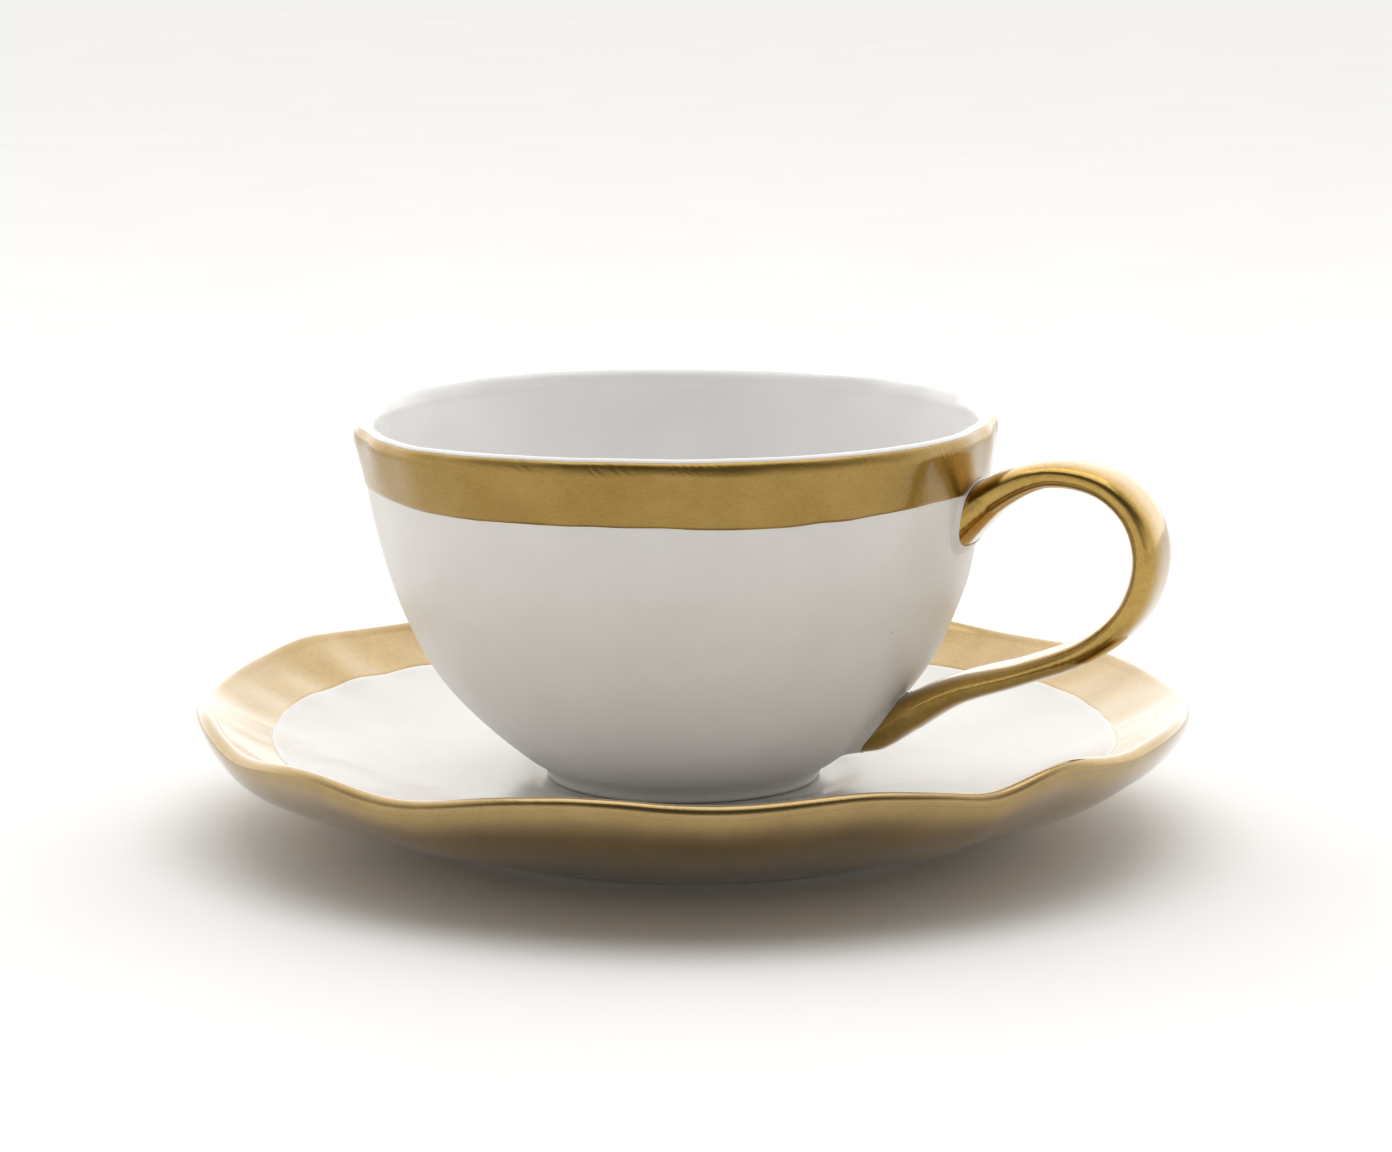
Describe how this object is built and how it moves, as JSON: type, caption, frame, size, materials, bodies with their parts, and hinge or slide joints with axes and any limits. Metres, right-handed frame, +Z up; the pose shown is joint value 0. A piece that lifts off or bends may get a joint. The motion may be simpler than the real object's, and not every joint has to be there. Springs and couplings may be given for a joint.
{
  "type": "teacup and saucer",
  "caption": "Hand-formed ceramic teacup with a gilded strap handle and lip band, standing loose on a wavy-rimmed gilded saucer.",
  "frame": {"origin": "centre of the saucer's foot ring, on the surface it stands on", "axes": "+Z up; +X to the handle's side, with the handle turned 21 degrees from +X towards -Y; the cup's axis is on +Z at its foot"},
  "size_m": [0.1634, 0.1634, 0.0696],
  "materials": {
    "fired_clay": "fired cream-white clay body, matt where it is bare",
    "satin_white": "satin off-white glaze with small pinholes and hand-made unevenness",
    "white_glaze": "glossy white glaze",
    "gilding": "brushed satin gold lustre, lightly worn along its edges"
  },
  "bodies": {
    "saucer": {"saucer_plate": "fired_clay", "saucer_foot_ring": "fired_clay", "saucer_glaze": "white_glaze", "saucer_gold_rim": "gilding", "saucer_gold_underside": "gilding"},
    "cup": {"cup_bowl": "satin_white", "cup_foot_ring": "satin_white", "cup_liner_glaze": "white_glaze", "cup_gold_band": "gilding", "cup_handle": "fired_clay", "handle_gilding": "gilding", "handle_upper_seam": "satin_white", "handle_lower_seam": "satin_white"}
  },
  "joints": [
    {"name": "cup_lift", "type": "slide", "parent": "saucer", "child": "cup", "axis": [0, 0, 1], "range_m": [0, 0.08]}
  ]
}
